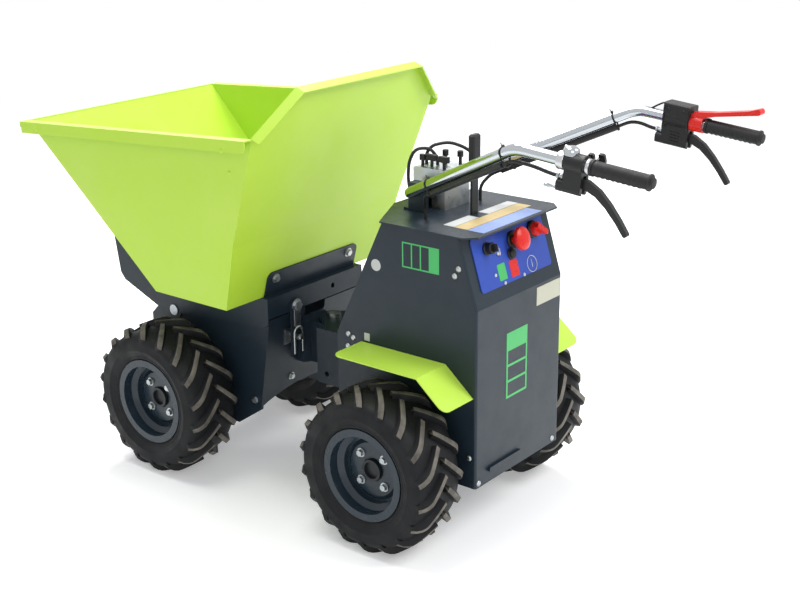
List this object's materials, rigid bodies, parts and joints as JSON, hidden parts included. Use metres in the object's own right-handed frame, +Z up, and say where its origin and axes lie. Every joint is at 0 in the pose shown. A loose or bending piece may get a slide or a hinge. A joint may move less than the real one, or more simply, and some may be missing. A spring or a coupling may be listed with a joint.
{
  "type": "site dumper",
  "caption": "Electric walk-behind articulated mini dumper: lugged tyres, forward-tipping green sheet skip, dark control tower with handlebars.",
  "frame": {"origin": "on the ground at the middle of the length and width of the parked machine", "axes": "+X forwards, the way the skip tips, +Y to the operator's left, +Z up"},
  "size_m": [1.8256, 0.7416, 1.0809],
  "materials": {
    "skip_green": "gloss",
    "guard_green": "gloss",
    "chassis_paint": "satin",
    "battery_case": "matte",
    "panel_blue": "satin",
    "black_plastic": "satin",
    "black_rubber": "matte",
    "red_plastic": "gloss",
    "chrome_tube": "polished",
    "dark_steel": "satin",
    "zinc": "satin",
    "tyre_rubber": "matte",
    "rim_paint": "gloss"
  },
  "bodies": {
    "rear_frame": {"tower_shell": "chassis_paint", "tower_floor": "chassis_paint", "top_deck": "chassis_paint", "battery": "battery_case", "battery_tray": "chassis_paint", "control_panel": "panel_blue", "key_switch": "black_plastic", "stop_button": "red_plastic", "isolator_knob": "red_plastic", "mudguard_left": "guard_green", "mudguard_right": "guard_green", "rear_bar": "zinc", "pivot_carrier": "chassis_paint", "pivot_pin": "zinc", "rear_axle": "chassis_paint", "handlebar": "chrome_tube", "bar_mount": "chassis_paint", "grips": "black_rubber", "perches": "black_plastic", "brake_levers": "black_plastic", "deadman_lever": "red_plastic", "console": "zinc", "console_knobs": "black_plastic", "gear_lever": "dark_steel", "gear_grip": "black_plastic", "control_cables": "black_rubber"},
    "front_frame": {"front_chassis": "chassis_paint", "pivot_tongue": "chassis_paint", "front_axle": "chassis_paint", "latch_keeper": "zinc"},
    "skip_body": {"skip": "skip_green", "tipping_frame": "chassis_paint", "tip_pins": "zinc", "tip_latch": "chassis_paint"},
    "wheel_front_left": {"tyre_front_left": "tyre_rubber", "rim_front_left": "rim_paint", "hub_front_left": "dark_steel"},
    "wheel_front_right": {"tyre_front_right": "tyre_rubber", "rim_front_right": "rim_paint", "hub_front_right": "dark_steel"},
    "wheel_rear_left": {"tyre_rear_left": "tyre_rubber", "rim_rear_left": "rim_paint", "hub_rear_left": "dark_steel"},
    "wheel_rear_right": {"tyre_rear_right": "tyre_rubber", "rim_rear_right": "rim_paint", "hub_rear_right": "dark_steel"}
  },
  "joints": [
    {"name": "articulation", "type": "hinge", "parent": "rear_frame", "child": "front_frame", "pos_m": [0.137, 0, 0.355], "axis": [0, 0, 1], "range_deg": [-30, 30]},
    {"name": "skip_tip", "type": "hinge", "parent": "front_frame", "child": "skip_body", "pos_m": [0.553, 0, 0.412], "axis": [0, 1, 0], "range_deg": [0, 70]},
    {"name": "wheel_front_left_spin", "type": "hinge", "parent": "front_frame", "child": "wheel_front_left", "pos_m": [0.504, 0.275, 0.205], "axis": [0, 1, 0], "continuous": true},
    {"name": "wheel_front_right_spin", "type": "hinge", "parent": "front_frame", "child": "wheel_front_right", "pos_m": [0.504, -0.275, 0.205], "axis": [0, 1, 0], "continuous": true},
    {"name": "wheel_rear_left_spin", "type": "hinge", "parent": "rear_frame", "child": "wheel_rear_left", "pos_m": [-0.238, 0.275, 0.205], "axis": [0, 1, 0], "continuous": true},
    {"name": "wheel_rear_right_spin", "type": "hinge", "parent": "rear_frame", "child": "wheel_rear_right", "pos_m": [-0.238, -0.275, 0.205], "axis": [0, 1, 0], "continuous": true}
  ]
}
